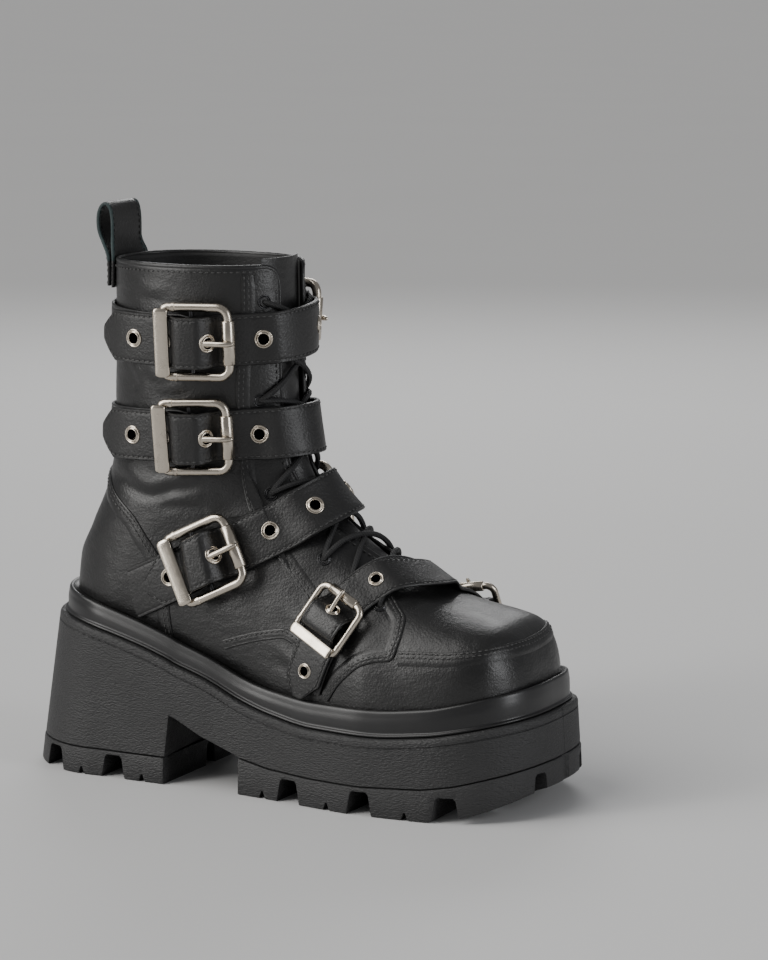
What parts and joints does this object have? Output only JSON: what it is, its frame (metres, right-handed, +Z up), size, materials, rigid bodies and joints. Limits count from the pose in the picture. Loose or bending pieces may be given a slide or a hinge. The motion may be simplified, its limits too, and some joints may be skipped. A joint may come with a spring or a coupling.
{
  "type": "platform ankle boot",
  "caption": "Right platform ankle boot in black leather with a chunky lugged rubber sole, crossed laces, buckled straps over the vamp, instep and shaft, an inner zip and a heel pull loop.",
  "frame": {"origin": "middle of the boot's bounding box, on the plane that the heel and forefoot stand on", "axes": "+X towards the toe, +Y towards the inner side of the foot, +Z up"},
  "size_m": [0.2912, 0.1186, 0.2915],
  "materials": {
    "leather_upper": "semi-gloss smooth black leather with soft creases",
    "leather_strap": "semi-gloss black strap leather, stitched edges",
    "lining": "matt dark lining",
    "rubber_sole": "matt pebbled black rubber",
    "rubber_rim": "smooth semi-gloss black rubber",
    "nickel": "satin warm nickel plate",
    "lace": "matt black round cord",
    "zip_tape": "matt black coil zip",
    "zip_metal": "dark plated metal"
  },
  "bodies": {
    "boot": {"anchor_instep_inner": "leather_strap", "anchor_instep_outer": "leather_strap", "anchor_lower_ankle_outer": "leather_strap", "anchor_toe_inner": "leather_strap", "anchor_toe_outer": "leather_strap", "anchor_upper_ankle_inner": "leather_strap", "anchor_upper_ankle_outer": "leather_strap", "buckle_instep_inner": "nickel", "buckle_instep_outer": "nickel", "buckle_lower_ankle_outer": "nickel", "buckle_toe_inner": "nickel", "buckle_toe_outer": "nickel", "buckle_upper_ankle_inner": "nickel", "buckle_upper_ankle_outer": "nickel", "insole": "lining", "lace_crossing_1": "lace", "lace_crossing_2": "lace", "lace_crossing_3": "lace", "lace_crossing_4": "lace", "lace_crossing_5": "lace", "lace_crossing_6": "lace", "lace_crossing_7": "lace", "lace_crossing_8": "lace", "platform": "rubber_sole", "prong_instep_inner": "nickel", "prong_instep_outer": "nickel", "prong_lower_ankle_outer": "nickel", "prong_toe_inner": "nickel", "prong_toe_outer": "nickel", "prong_upper_ankle_inner": "nickel", "prong_upper_ankle_outer": "nickel", "pull_loop": "leather_upper", "rim_band": "rubber_rim", "rim_bead": "rubber_rim", "roller_instep_inner": "nickel", "roller_instep_outer": "nickel", "roller_lower_ankle_outer": "nickel", "roller_toe_inner": "nickel", "roller_toe_outer": "nickel", "roller_upper_ankle_inner": "nickel", "roller_upper_ankle_outer": "nickel", "strap_instep": "leather_strap", "strap_lower_ankle": "leather_strap", "strap_toe": "leather_strap", "strap_upper_ankle": "leather_strap", "tongue": "leather_upper", "tread_forefoot": "rubber_sole", "tread_heel": "rubber_sole", "upper": "leather_upper", "zip_chain": "zip_tape", "zip_slider": "zip_metal"},
    "pull": {"zip_pull": "zip_metal"}
  },
  "joints": [
    {"name": "zip_pull", "type": "hinge", "parent": "boot", "child": "pull", "pos_m": [-0.08104, 0.03729, 0.25246], "axis": [0.9184, 0.3776, 0.1186], "range_deg": [0, 150]}
  ]
}
